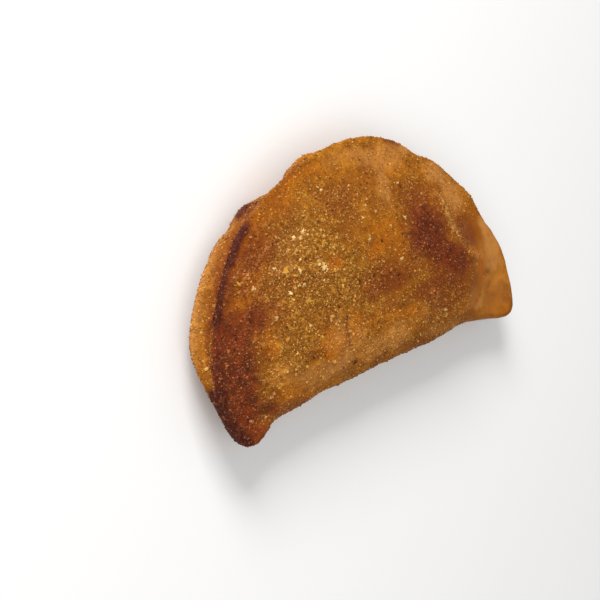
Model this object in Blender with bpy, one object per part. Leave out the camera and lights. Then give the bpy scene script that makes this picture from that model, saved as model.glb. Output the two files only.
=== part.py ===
# A half-moon savoury turnover: a round of dough folded over its filling, crumbed and fried.
# It lies on its flatter face with the better face up. X runs along the fold, Y from the fold
# to the middle of the curved edge, and Z is up. Sizes are in millimetres unless a name says
# otherwise, and MM turns them into metres.

from math import cos, exp, hypot, radians, sin

import bmesh
import bpy
from mathutils import Vector

MM = 0.001

# Curved edge: one arc of a circle, from the pinched far end round to the near corner.
ARC_CENTRE_X = -1.9
ARC_CENTRE_Y = 6.3
ARC_RADIUS = 57.0
ARC_FROM = 30.0
ARC_TO = 172.0
ARC_STATIONS = 27

# Where the curved edge reaches further out than the arc, or less far, as (angle, reach, amount).
ARC_UNEVEN = [(30, 12, 1.8), (45, 9, 0.3), (57, 7, -1.0), (74, 15, 0.8), (111, 20, -0.9), (134, 10, -0.2),
              (164, 12, 0.4)]

# Where the side is rounded like the fold, as (angle, angle past which it isn't, amount).
FAR_ROUNDING = (35.0, 60.0, 0.3)
NEAR_ROUNDING = (174.0, 158.0, 0.4)

# Thickness of the sealed edge.
EDGE_THICKNESS = 9.0

# The lower layer of dough bulges past the upper one in a soft roll, which grows and dies away.
ROLL_BULGE = 3.2
GROOVE_DEPTH = 0.8
ROLL_FROM = 121.0
ROLL_FULL = 158.0
ROLL_LESS = 160.0
ROLL_TO = 178.0

# Elsewhere the side leans in under the upper layer, as (from angle, to angle, fade, amount).
SIDE_LEANS = [(14, 136, 34, 3.4), (103, 117, 8, 3.2), (122.5, 132, 6, 1.5)]

# A thick lump of crumb on the side, just short of the top.
LUMP_ANGLE = 96.0
LUMP_REACH = 11.0
LUMP_BULGE = 0.45

# Swell of the filling above the upper edge and below the lower one, and how far in it is full.
UPPER_SWELL = 4.4
LOWER_SWELL = 5.4
RESTING_DEPTH = 4.1
SWELL_FROM_ARC = 25.0
SWELL_FROM_FOLD = 7.0
SEAM_WIDTH = 1.0

# The fold goes round through this angle each way, and the faces start this far in from its edge.
FOLD_TURN = 62.0
FOLD_DEPTH = 2.8

# The near corner thins to a rounded nub.
NUB_X = -57.0
NUB_Y = 0.0
NUB_THICKNESS = 3.6
NUB_DROP = 1.0
NUB_REACH = 27.0
NUB_FADE = 17.0
NUB_SHARPNESS = 1.5

# Thin pinched flange at the far end.
FLANGE_LEVEL = -2.6
FLANGE_THICKNESS = 4.3
SHOULDER_WIDTH = 17.0
SHOULDER_STRAIGHTNESS = 0.6

# Where the swollen part stops and the flange begins, as (y, x) from the fold upwards.
SHOULDER = [(0, 31.9), (4, 32.0), (7, 32.5), (9.5, 33.4), (12, 35.0), (14, 36.6), (16, 38.1), (18, 39.0),
            (20, 39.0), (22, 38.3), (25, 36.6), (28.5, 34.9), (32, 33.8), (37, 33.1), (46, 32.0)]
SHOULDER_TOP = 41.0
SHOULDER_FADE = 16.0
RIDGE_HEIGHT = 0.55
RIDGE_WIDTH = 1.7
RIDGE_FROM = 16.0
RIDGE_TO = 42.0
RIDGE_FADE = 6.0

# Soft rises and hollows of the upper face, as (x, y, reach, height).
SWELLS = [
    (-14.0, 33.0, 11.0, 0.55),
    (9.0, 24.0, 10.0, 0.45),
    (27.0, 36.0, 9.0, 0.95),
    (34.0, 24.0, 7.0, 0.75),
    (-26.0, 14.0, 10.0, 0.50),
    (-44.0, 30.0, 9.0, -0.50),
    (4.0, 50.0, 11.0, -0.35),
    (-3.0, 10.0, 8.0, -0.35),
    (17.0, 12.0, 8.0, 0.40),
    (-32.0, 44.0, 9.0, -0.30),
    (-52.0, 10.0, 6.0, 0.45),
]

# Rings of the upper and lower faces, as shares of the way out from the middle line.
COLUMNS = 150
UPPER_RINGS = 14
LOWER_RINGS = 10
INNERMOST = 0.05
MIDDLE_Y = 27.0
MIDDLE_SHARE = 0.52

# Side of the sealed edge from the upper face down, as (outward, share of the way down).
# The outward values are multiples of the groove's depth inwards and of the roll's bulge outwards.
SIDE_ROWS = [(-1.3, 0.0), (0.0, 0.02), (-0.6, 0.16), (-1.0, 0.36), (0.45, 0.50), (1.0, 0.66),
             (0.75, 0.84), (-0.1, 1.0)]

# Coarse crumb relief.
RELIEF = 0.55
RELIEF_GRAIN = 3.6

CRUST_COLOUR = (0.42, 0.19, 0.045, 1.0)
CRUST_ROUGHNESS = 0.75


def clear_scene():
    for scene_object in list(bpy.data.objects):
        bpy.data.objects.remove(scene_object, do_unlink=True)


def smooth(value):
    """A soft step from 0 to 1."""
    value = min(1.0, max(0.0, value))
    return value * value * (3 - 2 * value)


def between(low, high, share):
    return low + (high - low) * share


def ramp(value, start, end):
    """A soft step from 0 at the start to 1 at the end, which may lie below it."""
    return smooth((value - start) / (end - start))


def near_thin(x, y):
    """1 at the near nub, 0 on the body."""
    return smooth((NUB_REACH - hypot(NUB_SHARPNESS * (x - NUB_X), y - NUB_Y)) / NUB_FADE)


def shoulder_x(y):
    """The line where the swollen part ends, at this distance from the fold."""
    if y <= SHOULDER[0][0]:
        return SHOULDER[0][1]
    for (low_y, low_x), (high_y, high_x) in zip(SHOULDER, SHOULDER[1:]):
        if y <= high_y:
            return between(low_x, high_x, (y - low_y) / (high_y - low_y))
    return SHOULDER[-1][1]


def flange_share(x, y):
    """1 on the pinched flange, 0 on the swollen part."""
    fade = smooth((SHOULDER_TOP - y) / SHOULDER_FADE)
    down = min(1.0, max(0.0, (x - shoulder_x(y)) / SHOULDER_WIDTH))
    return fade * between(smooth(down), down, SHOULDER_STRAIGHTNESS)


def swell_share(x, y):
    """0 at the edges, 1 where the filling is thickest."""
    depth = ARC_RADIUS - hypot(x - ARC_CENTRE_X, y - ARC_CENTRE_Y) - SEAM_WIDTH
    inside = min(1.0, max(0.0, depth / SWELL_FROM_ARC))
    from_arc = 0.5 * smooth(inside) + 0.5 * (1 - (1 - inside) ** 2)
    from_fold = 1 - exp(-max(0.0, y - FOLD_DEPTH) / SWELL_FROM_FOLD)
    return from_arc * from_fold


def upper_height(x, y):
    full = swell_share(x, y)
    height = UPPER_SWELL * full - NUB_DROP * near_thin(x, y)
    for centre_x, centre_y, reach, rise in SWELLS:
        away = ((x - centre_x) ** 2 + (y - centre_y) ** 2) / reach ** 2
        height += rise * min(1.0, 2 * full) * max(0.0, 1 - away) ** 2
    height = between(height, FLANGE_LEVEL, flange_share(x, y))
    beside = (x - shoulder_x(y)) / RIDGE_WIDTH
    along = smooth((y - RIDGE_FROM) / RIDGE_FADE) * smooth((RIDGE_TO - y) / RIDGE_FADE)
    return height + RIDGE_HEIGHT * max(0.0, 1 - beside * beside) * along


def lower_height(x, y):
    thin = near_thin(x, y)
    swell = min(RESTING_DEPTH, LOWER_SWELL * swell_share(x, y))
    edge = between(-EDGE_THICKNESS, -NUB_DROP - NUB_THICKNESS, thin)
    return between(edge - swell * (1 - thin), FLANGE_LEVEL - FLANGE_THICKNESS, flange_share(x, y))


def station(x, y, roll=0.0, fold=0.0, lean=0.0):
    """One place on the outline: its point, and the shape of the side there."""
    return (x, y, roll, fold, lean)


def fold_stations():
    """The folded edge is nearly straight, with the slight waves of a hand-made fold."""
    waves = [(-42.0, 0.1), (-36.0, 0.2), (-28.5, 0.7), (-22.5, 1.3), (-17.0, 1.0), (-9.0, 0.9), (-1.0, 1.1),
             (8.0, 0.8), (17.0, 0.4), (26.0, 0.6), (34.0, 1.0), (40.5, 0.0)]
    return [station(x, y, fold=1.0) for x, y in waves]


def flange_stations():
    """The far end is pinched into a thin lobe, with a soft dent where it leaves the curved edge."""
    lobe = [(46.0, -1.2), (51.5, -2.7), (55.8, -3.2), (58.6, -1.0), (59.7, 4.2), (59.8, 9.0),
            (59.5, 13.6), (58.8, 18.0), (57.2, 22.2), (55.0, 25.8), (53.0, 29.0), (51.2, 32.2)]
    rounding = [1.0, 0.9, 0.8, 0.75, 0.75, 0.75, 0.75, 0.75, 0.75, 0.65, 0.55, 0.45]
    return [station(x, y, fold=fold) for (x, y), fold in zip(lobe, rounding)]


def side_lean(angle):
    lean = 0.0
    for low, high, fade, amount in SIDE_LEANS:
        lean += amount * smooth((angle - low) / fade) * smooth((high - angle) / fade)
    return lean


def arc_stations():
    """The sealed, curved edge."""
    stations = []
    for step in range(ARC_STATIONS):
        angle = between(ARC_FROM, ARC_TO, step / (ARC_STATIONS - 1))
        uneven = [amount * smooth(1 - abs(angle - middle) / reach) for middle, reach, amount in ARC_UNEVEN]
        radius = ARC_RADIUS + sum(uneven)
        x = ARC_CENTRE_X + radius * cos(radians(angle))
        y = ARC_CENTRE_Y + radius * sin(radians(angle))
        roll = ramp(angle, ROLL_FROM, ROLL_FULL) * ramp(angle, ROLL_TO, ROLL_LESS)
        roll += LUMP_BULGE * smooth(1 - abs(angle - LUMP_ANGLE) / LUMP_REACH)
        fold = sum(amount * ramp(angle, none, full) for full, none, amount in (FAR_ROUNDING, NEAR_ROUNDING))
        stations.append(station(x, y, roll, fold, side_lean(angle)))
    return stations


def near_tip_stations():
    """The near corner is a thin, rounded nub that droops a little past the fold."""
    nub = [(-57.6, 8.0), (-56.8, 4.6), (-55.8, 1.6), (-54.4, -1.0), (-52.6, -2.8), (-50.0, -3.4),
           (-47.4, -2.8), (-45.0, -1.4)]
    rounding = [0.5, 0.5, 0.5, 0.5, 0.55, 0.65, 0.8, 0.95]
    return [station(x, y, fold=fold) for (x, y), fold in zip(nub, rounding)]


def outline():
    """All stations in order, from the middle of the fold round to it again."""
    fold = fold_stations()
    middle = len(fold) // 2
    return fold[middle:] + flange_stations() + arc_stations() + near_tip_stations() + fold[:middle]


def through(stations, samples):
    """A closed, smooth run through the stations, with a number of samples to each."""
    count = len(stations)
    run = []
    for index in range(count):
        before, here, after, beyond = (stations[(index + shift) % count] for shift in (-1, 0, 1, 2))
        for sample in range(samples):
            t = sample / samples
            weights = (
                -0.5 * t + t * t - 0.5 * t ** 3,
                1 - 2.5 * t * t + 1.5 * t ** 3,
                0.5 * t + 2 * t * t - 1.5 * t ** 3,
                -0.5 * t * t + 0.5 * t ** 3,
            )
            corners = zip(before, here, after, beyond)
            run.append(tuple(sum(w * v for w, v in zip(weights, corner)) for corner in corners))
    return run


def evenly(points, count):
    """A closed run of points, spaced evenly along its length in plan."""
    closed = list(points) + [points[0]]
    lengths = [hypot(b[0] - a[0], b[1] - a[1]) for a, b in zip(closed, closed[1:])]
    step = sum(lengths) / count
    spaced = []
    index, passed = 0, 0.0
    for number in range(count):
        along = number * step
        while passed + lengths[index] < along:
            passed += lengths[index]
            index += 1
        share = (along - passed) / lengths[index]
        spaced.append(tuple(between(a, b, share) for a, b in zip(closed[index], closed[index + 1])))
    return spaced


def outward_normals(run):
    normals = []
    for index in range(len(run)):
        ahead = run[(index + 1) % len(run)]
        behind = run[index - 1]
        along = Vector((ahead[0] - behind[0], ahead[1] - behind[1])).normalized()
        normals.append(Vector((along.y, -along.x)))
    return normals


def fold_profile(row, thickness):
    """How far in and down a row lies where the dough goes round in a fold."""
    radius = thickness / (2 * sin(radians(FOLD_TURN)))
    last = len(SIDE_ROWS) - 1
    turn = radians(between(FOLD_TURN, -FOLD_TURN, max(0, row - 1) / (last - 1)))
    out = radius * (cos(turn) - 1)
    down = 0.5 - radius * sin(turn) / thickness
    return (out - 0.25 * thickness, 0.0) if row == 0 else (out, down)


def side_ring(run, normals, row):
    """One line round the side, blended between a sealed wall and a rounded fold."""
    wall_out, wall_down = SIDE_ROWS[row]
    ring = []
    for (x, y, roll, fold, lean), normal in zip(run, normals):
        upper_level = upper_height(x, y)
        round_out, round_down = fold_profile(row, upper_level - lower_height(x, y))
        reach = ROLL_BULGE * roll if wall_out > 0 else GROOVE_DEPTH * between(0.5, 1.0, roll)
        out = between(wall_out * reach - lean * wall_down, round_out, fold)
        down = between(wall_down, round_down, fold)
        place = Vector((x + normal.x * out, y + normal.y * out, 0.0))
        top = upper_height(place.x, place.y) if row == 0 else upper_level
        place.z = between(top, lower_height(x, y), down)
        ring.append(place)
    return ring


def face_ring(edge, share, height_at):
    """The edge ring drawn in towards the middle line, spaced more evenly as it shrinks."""
    drawn_in = []
    for point in edge:
        x = between(point.x * MIDDLE_SHARE, point.x, share)
        y = between(MIDDLE_Y, point.y, share)
        drawn_in.append((x, y))
    spaced = evenly(drawn_in, len(edge))
    ring = []
    for kept, even in zip(drawn_in, spaced):
        x = between(even[0], kept[0], share)
        y = between(even[1], kept[1], share)
        ring.append(Vector((x, y, height_at(x, y))))
    return ring


def all_rings():
    """Level lines from the middle of the upper face, over the side, to the middle of the lower face."""
    run = evenly(through(outline(), 8), COLUMNS)
    normals = outward_normals(run)
    side = [side_ring(run, normals, row) for row in range(len(SIDE_ROWS))]
    upper_shares = [between(INNERMOST, 1.0, ring / UPPER_RINGS) for ring in range(UPPER_RINGS)]
    lower_shares = [between(1.0, INNERMOST, ring / LOWER_RINGS) for ring in range(1, LOWER_RINGS + 1)]
    upper = [face_ring(side[0], share, upper_height) for share in upper_shares]
    lower = [face_ring(side[-1], share, lower_height) for share in lower_shares]
    return upper + side + lower


def loft(rings):
    """A circle of edges, extruded from ring to ring and closed at both ends."""
    mesh = bmesh.new()
    circle = bmesh.ops.create_circle(mesh, cap_ends=False, segments=len(rings[0]), radius=1.0)
    current = circle["verts"]
    edges = list(mesh.edges)
    first_edges = edges
    for vertex, place in zip(current, rings[0]):
        vertex.co = place
    for ring in rings[1:]:
        made = bmesh.ops.extrude_edge_only(mesh, edges=edges)["geom"]
        edges = [item for item in made if isinstance(item, bmesh.types.BMEdge)]
        made_vertices = {item for item in made if isinstance(item, bmesh.types.BMVert)}
        following = []
        for vertex in current:
            neighbours = [edge.other_vert(vertex) for edge in vertex.link_edges]
            following += [neighbour for neighbour in neighbours if neighbour in made_vertices]
        current = following
        for vertex, place in zip(current, ring):
            vertex.co = place
    for open_edges in (first_edges, edges):
        bmesh.ops.triangle_fill(mesh, edges=open_edges, use_beauty=True)
    bmesh.ops.triangulate(mesh, faces=list(mesh.faces), quad_method="SHORT_EDGE", ngon_method="BEAUTY")
    bmesh.ops.recalc_face_normals(mesh, faces=list(mesh.faces))
    return mesh


def add_relief(rissole, resting_level):
    """Coarse, uneven crumb relief everywhere but on the flat that rests on the table."""
    group = rissole.vertex_groups.new(name="crumbed")
    free = [vertex.index for vertex in rissole.data.vertices if vertex.co.z > resting_level + 0.6 * MM]
    group.add(free, 1.0, "REPLACE")
    grain = bpy.data.textures.new("crumb_relief", "CLOUDS")
    grain.noise_scale = RELIEF_GRAIN * MM
    grain.noise_depth = 2
    relief = rissole.modifiers.new("Crumb relief", "DISPLACE")
    relief.texture = grain
    relief.texture_coords = "LOCAL"
    relief.strength = RELIEF * MM
    relief.mid_level = 0.5
    relief.vertex_group = group.name


def crust_material():
    material = bpy.data.materials.new("fried_crumb_crust")
    material.use_nodes = True
    shader = material.node_tree.nodes["Principled BSDF"]
    shader.inputs["Base Color"].default_value = CRUST_COLOUR
    shader.inputs["Roughness"].default_value = CRUST_ROUGHNESS
    return material


def make_rissole(collection):
    mesh = loft(all_rings())
    low = min(vertex.co.z for vertex in mesh.verts)
    left = min(vertex.co.x for vertex in mesh.verts)
    right = max(vertex.co.x for vertex in mesh.verts)
    front = min(vertex.co.y for vertex in mesh.verts)
    back = max(vertex.co.y for vertex in mesh.verts)
    middle = Vector(((left + right) / 2, (front + back) / 2, low))
    for vertex in mesh.verts:
        vertex.co = (vertex.co - middle) * MM
    data = bpy.data.meshes.new("rissole")
    mesh.to_mesh(data)
    mesh.free()
    data.shade_smooth()
    rissole = bpy.data.objects.new("rissole", data)
    collection.objects.link(rissole)
    data.materials.append(crust_material())
    add_relief(rissole, 0.0)
    return rissole


def main():
    clear_scene()
    collection = bpy.data.collections.new("rissole_parts")
    bpy.context.scene.collection.children.link(collection)
    make_rissole(collection)


main()
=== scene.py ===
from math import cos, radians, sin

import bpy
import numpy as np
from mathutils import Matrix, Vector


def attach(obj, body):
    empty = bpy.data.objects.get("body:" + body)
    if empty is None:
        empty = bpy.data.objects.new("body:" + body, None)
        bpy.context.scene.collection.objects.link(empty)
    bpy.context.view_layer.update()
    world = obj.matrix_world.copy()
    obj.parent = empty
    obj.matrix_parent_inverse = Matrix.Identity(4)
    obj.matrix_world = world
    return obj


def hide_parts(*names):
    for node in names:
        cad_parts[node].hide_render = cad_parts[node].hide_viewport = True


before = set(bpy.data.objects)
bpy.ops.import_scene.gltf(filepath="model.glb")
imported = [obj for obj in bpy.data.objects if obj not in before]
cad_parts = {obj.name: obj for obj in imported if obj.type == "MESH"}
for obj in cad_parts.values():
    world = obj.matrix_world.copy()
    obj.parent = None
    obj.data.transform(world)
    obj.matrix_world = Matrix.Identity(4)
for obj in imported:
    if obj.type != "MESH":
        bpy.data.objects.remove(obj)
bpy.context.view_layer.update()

# %% [markdown]
# A fried half-moon turnover lies flat with its browner face up. The solid that was just loaded has
# its true size and its main forms: the swollen middle, the round fold, the sealed edge with its
# soft roll, and the thin pinched corner. This lesson dresses that solid: a finer crust with a
# crumbed relief, crumbs that are stuck to it, and a finish that goes from pale gold at the sealed
# edge to nearly black red-brown where the oil caught it.

MM = 0.001

# %% [markdown]
# The camera comes first, because it decides what shows. The real turnover stood on edge; this one
# lies down, so the camera looks down on its face at the same angle as it was seen from. The angle,
# the distance and the lens were worked out from how the arc of the sealed edge is drawn out into an
# oval: about forty degrees away from straight above, from the side of the near corner, rolled a
# little so that the fold runs up to the right.

# %% The camera
CAMERA_PLACE = Vector((-0.25726, 0.06683, 0.28535))
LOOK_BACK = Vector((-0.6356, 0.1902, 0.7482)).normalized()
CAMERA_ROLL = radians(-13.95)
LENS = 84.5
NEAREST_SEEN = 0.01


def put(name, data):
    """An object that holds the data, linked to the scene."""
    item = bpy.data.objects.new(name, data)
    bpy.context.scene.collection.objects.link(item)
    return item


right = Vector((0, 1, 0)).cross(LOOK_BACK).normalized()
up = LOOK_BACK.cross(right)
facing = Matrix((right, up, LOOK_BACK)).transposed() @ Matrix.Rotation(CAMERA_ROLL, 3, "Z")
camera_data = bpy.data.cameras.new("camera")
camera_data.lens = LENS
camera_data.clip_start = NEAREST_SEEN
camera = put("camera", camera_data)
camera.matrix_world = Matrix.Translation(CAMERA_PLACE) @ facing.to_4x4()
bpy.context.scene.camera = camera
print("camera at", tuple(round(value, 3) for value in camera.location))

# %% [markdown]
# A plain pale floor. It is staged, so it shows in the picture but is no part of the turnover.

# %% The floor
FLOOR_SIZE = 3.0
FLOOR_COLOUR = (0.84, 0.835, 0.825, 1.0)
FLOOR_ROUGHNESS = 0.7

bpy.ops.object.select_all(action="DESELECT")
bpy.ops.mesh.primitive_plane_add(size=FLOOR_SIZE, location=(0, 0, 0))
floor = bpy.context.object
floor.name = "floor"
floor_material = bpy.data.materials.new("pale_floor")
floor_material.use_nodes = True
floor_shader = floor_material.node_tree.nodes["Principled BSDF"]
floor_shader.inputs["Base Color"].default_value = FLOOR_COLOUR
floor_shader.inputs["Roughness"].default_value = FLOOR_ROUGHNESS
floor.data.materials.append(floor_material)
print("floor of", FLOOR_SIZE, "metres")

# %% [markdown]
# Soft studio lights. The wide key light is low, on the side of the curved edge, and rakes over the
# crumbs, because a crumb coat only shows as one when each crumb has a lit and a shaded side. A
# larger, weaker light near the camera fills the shadows, and the world is an even pale grey. The
# Standard view shows colours as the materials name them.

# %% The lights
WORLD_COLOUR = (1.0, 1.0, 1.0, 1.0)
WORLD_STRENGTH = 0.42


def soft_light(name, place, size, power):
    """A square area light that looks at the middle of the turnover."""
    data = bpy.data.lights.new(name, "AREA")
    data.shape = "SQUARE"
    data.size = size
    data.energy = power
    light = put(name, data)
    light.location = place
    light.rotation_euler = (-Vector(place)).to_track_quat("-Z", "Y").to_euler()


soft_light("key", place=(-0.16, 0.66, 0.38), size=0.34, power=6.5)
soft_light("fill", place=(-0.50, -0.16, 0.66), size=0.80, power=3.2)
world = bpy.data.worlds.new("studio")
bpy.context.scene.world = world
world.use_nodes = True
background = world.node_tree.nodes["Background"]
background.inputs["Color"].default_value = WORLD_COLOUR
background.inputs["Strength"].default_value = WORLD_STRENGTH
bpy.context.scene.view_settings.view_transform = "Standard"
print("lights:", ", ".join(light.name for light in bpy.data.lights))

# %% [markdown]
# The crust replaces the plain solid and keeps its form. The solid's triangles are about two
# millimetres wide, too coarse for crumbs, so its copy is merged and remeshed on a fine grid, and
# smoothed so that neither the grid nor the big triangles show. A remesh was chosen over subdivision
# because its faces are all of one size, which fine relief needs.

# %% The crust as a fine mesh
SAME_PLACE = 0.002 * MM
FINE_GRID = 0.46 * MM
SMOOTHING = 7


def work_on(piece):
    """Selects the piece alone and makes it the active one."""
    bpy.ops.object.select_all(action="DESELECT")
    piece.select_set(True)
    bpy.context.view_layer.objects.active = piece


def use_modifier(piece, name, kind, **settings):
    """Adds a modifier, sets it and applies it, as its panel would."""
    work_on(piece)
    modifier = piece.modifiers.new(name, kind)
    for setting, value in settings.items():
        setattr(modifier, setting, value)
    bpy.ops.object.modifier_apply(modifier=modifier.name)


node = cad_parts["rissole"]
crust = put("crust", node.data.copy())
work_on(crust)
bpy.ops.object.mode_set(mode="EDIT")
bpy.ops.mesh.select_all(action="SELECT")
bpy.ops.mesh.remove_doubles(threshold=SAME_PLACE)
bpy.ops.object.mode_set(mode="OBJECT")
use_modifier(crust, "Fine grid", "REMESH", mode="VOXEL", voxel_size=FINE_GRID, adaptivity=0.0)
use_modifier(crust, "Even out", "SMOOTH", factor=0.5, iterations=SMOOTHING)
print("crust triangles:", sum(len(face.vertices) - 2 for face in crust.data.polygons))

# %% [markdown]
# Where things are on the turnover is worked out for any point. The edge between the upper face and
# its side is found on the solid itself: for each direction from the centre of the curved edge, the
# furthest point that still lies near the upper face. Everything else is told in plain millimetres
# on the face, with X along the fold and Y towards the curved edge.

# %% Finding the edge
ARC_CENTRE = (-2.1, -23.6)
UPPER_EDGE_HEIGHT = 13.1
SEARCHED_BELOW_EDGE = 1.6
DIRECTIONS = 120
HALF_SECTOR = 2.4


def numbers_of(piece, kind):
    """Three numbers for each point of the piece: its place, co, or its normal."""
    flat = np.empty(len(piece.data.vertices) * 3, np.float32)
    piece.data.vertices.foreach_get(kind, flat)
    return flat.reshape(-1, 3).astype(float)


def points_of(piece):
    """The piece's points, in millimetres."""
    return numbers_of(piece, "co") / MM


def turned(points):
    """Each point's direction in degrees and distance from the centre of the curved edge."""
    across = points[:, 0] - ARC_CENTRE[0]
    away = points[:, 1] - ARC_CENTRE[1]
    return np.degrees(np.arctan2(away, across)) % 360, np.hypot(across, away)


solid_points = points_of(node)
directions, reaches = turned(solid_points)
near_upper = solid_points[:, 2] > UPPER_EDGE_HEIGHT - SEARCHED_BELOW_EDGE
steps = np.linspace(0, 360, DIRECTIONS, endpoint=False)
edge_reach = np.zeros(DIRECTIONS)
for number, step in enumerate(steps):
    apart = np.abs((directions - step + 180) % 360 - 180)
    close = near_upper & (apart < HALF_SECTOR)
    edge_reach[number] = reaches[close].max() if close.any() else 0.0
print("reach of the upper edge:", edge_reach.min().round(1), "to", edge_reach.max().round(1), "mm")

# %% [markdown]
# Browning is uneven because the surface is: what stood proud or was thin is nearly burnt, the sealed edge and
# the far corner stayed pale. Each tone of the crust has its own list of places, read off the real turnover. A
# place is an oval: its middle in X and Y, its half length and half width, its turn in degrees, and how strong
# the tone is there. The darkest tone comes first, with the scorched spots inside it that are nearly black.

# %% Burnt places
BURNT = [
    # the near end
    (-50, -2.5, 7, 4.5, 0, 0.85), (-51.8, -9, 8, 5.5, 97, 0.88), (-53, -17, 7, 6.8, 90, 0.92),
    (-51, -23, 5.6, 3.4, 0, 0.9), (-55.5, -26, 4.5, 2, 110, 0.9), (-43, -1.8, 3.2, 4.2, 0, 0.75),
    (-44.5, -25.5, 2.6, 1.3, 150, 0.7), (-53, -26.5, 4, 4.2, 0, 0.85), (-37, -27.5, 7, 2, 0, 0.4),
    (-52.5, -30.5, 6.5, 3, 0, 0.8),
    # the bruise
    (21, 7, 4.2, 3.5, 0, 0.85), (20.8, 1.5, 5.8, 4.2, 0, 0.9), (25, -3.5, 6, 3.2, 160, 0.85),
    (26, 2, 2.4, 5, 0, 0.4), (30.5, -8, 5, 4, 140, 0.8), (34, -11.5, 4.5, 2.6, 165, 0.4),
    (16.5, 3, 2.5, 4, 0, 0.28),
    # past the ridge
    (42, -4, 5, 2.4, 165, 0.25),
]
SCORCHED = [
    (-57.5, -17, 2.6, 8, 0, 0.85), (-54.5, -27.5, 2.2, 5, 25, 0.9), (-45.5, -24.5, 2.2, 1.6, 0, 0.7),
    (-54, -11, 1.6, 5, -15, 0.6), (21.5, 4, 4.4, 3.4, 110, 0.55),
]
print("burnt places:", len(BURNT), "scorched spots:", len(SCORCHED))

# %% [markdown]
# Brown lies round the burnt places like a halo, and in small strokes on the swollen middle.

# %% Brown places
BROWN = [
    # the near end
    (-39, -2, 4.5, 5.5, 0, 0.55), (-36, 13.5, 7, 3, 20, 0.35), (-46.5, 5, 3.5, 6, -20, 0.32),
    (-44, -10, 3, 5, 0, 0.45), (-38, 12.5, 5, 3, 50, 0.35), (-36, -28.2, 7.5, 1.8, 0, 0.45),
    (-35, 9, 5.5, 6, 0, 0.32), (-41.5, 4.5, 3.5, 6, 0, 0.42), (-48, -28, 5, 3, 0, 0.6),
    (-43, -24.5, 3, 3, 0, 0.3), (-43.5, -22.5, 3, 2.5, 0, 0.4),
    # the swollen middle
    (3.5, -6, 5.5, 2.8, 0, 0.95), (-4, -7.5, 2.8, 2.2, 40, 0.7), (0.5, -4.6, 11, 4.6, 0, 0.6),
    (8, -12.5, 6, 3.6, 0, 0.22), (7, 1, 3, 4, 0, 0.28), (2, -13, 5, 2.3, 170, 0.5),
    (5.5, 14, 3.5, 2.5, 60, 0.3), (-6.5, 12, 5, 4, 0, 0.42), (-31, 3, 6, 2, 170, 0.25),
    (-29, -16, 3, 1.6, 0, 0.5), (-15.7, -14.5, 0.8, 4, 0, 0.6), (-29, 1, 13, 12, 0, 0.22),
    # by the curved edge
    (-7, 20, 8, 4.5, 0, 0.5), (4.5, 20.5, 4, 3.5, 0, 0.45), (-27, 25.5, 6, 2.6, 25, 0.45),
    (-29.5, 17.5, 9, 5, 25, 0.4),
    # along the fold; the long lower stroke is partly browning and partly painted shade
    (19, -20.5, 9, 4, 0, 0.22), (8, -28.6, 22, 2.2, 0, 0.3),
    # the bruise
    (22, 4, 9, 11, 0, 0.85), (21, 14.5, 7.5, 3.6, 170, 0.42), (28.5, -9, 9.5, 7, 150, 0.85),
    (17, -13, 7, 2.8, 175, 0.75), (25, -16.4, 9.5, 5.2, 170, 0.62), (13.5, 1, 3.6, 7, 0, 0.2),
    (31, 12.5, 3, 3, 0, 0.35), (14, -5, 4, 5, 0, 0.4),
    # past the ridge
    (40.2, -2, 8.2, 5, 160, 0.7), (39, -11.5, 4, 2.6, 165, 0.42), (37.5, -17, 4.5, 3.2, 0, 0.5),
    (37.5, -1.5, 2.8, 4.5, 0, 0.35), (51, -26, 8, 3, 0, 0.25),
]
print("brown places:", len(BROWN))

# %% [markdown]
# Amber is where the oil soaked in without browning. It glows most inside the near end and in the
# dip before the far corner.

# %% Amber places
AMBER = [
    # the near end
    (-43.5, 4, 4.2, 8, -18, 0.7), (-38.5, 12.5, 4.2, 6.5, -38, 0.8), (-36, 19, 4, 2, 40, 0.6),
    (-41, -10, 3.5, 2, 90, 0.75), (-48.5, -28.8, 3, 2.4, 0, 0.5), (-38, -23.5, 6, 2, 175, 0.5),
    (-35, -27.5, 8, 2.2, 0, 0.6),
    # the swollen middle
    (-15.5, 4, 3.2, 1.8, 0, 0.8), (2, 3.5, 6, 2.6, 25, 0.6), (4.5, 9, 4, 2.2, 0, 0.5),
    (-22.5, -15.5, 5.5, 3.8, 0, 0.85), (-12, -13, 2.8, 4.5, 0, 0.55), (7.5, -16.5, 4, 2.2, 0, 0.45),
    (9.5, 3, 3.5, 5, 0, 0.45), (-2, -16, 8, 3, 0, 0.35),
    # by the curved edge
    (-27, 23.5, 8, 2.4, 22, 0.55), (-20.5, 27.3, 3, 1.2, 20, 0.6), (-12, 28.5, 7, 2, 12, 0.45),
    (17, 21.5, 5, 1.8, 0, 0.5),
    # the bruise
    (28, 9.5, 2.2, 7, 10, 0.5),
    # past the ridge
    (44.8, -13.5, 3.6, 4.4, 0, 0.85), (36, -22, 6, 4, 0, 0.45), (42, -3, 5, 4, 0, 0.4),
    (38.5, -8.5, 4, 3, 0, 0.75), (38, 2.5, 4.5, 2.5, 0, 0.4), (41, -18.5, 6.5, 2.6, 172, 0.6),
    (40.5, -15.5, 5.5, 4, 0, 0.5), (42, 0, 8, 4.5, 165, 0.75), (49, -9, 3.5, 5, 0, 0.4),
    (48.5, 2, 2.4, 3, 0, 0.4), (50, -30, 7, 2, 170, 0.4),
]
print("amber places:", len(AMBER))

# %% [markdown]
# Pale dough shows where the coat is thin, and where the face hardly touched the oil.

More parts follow.
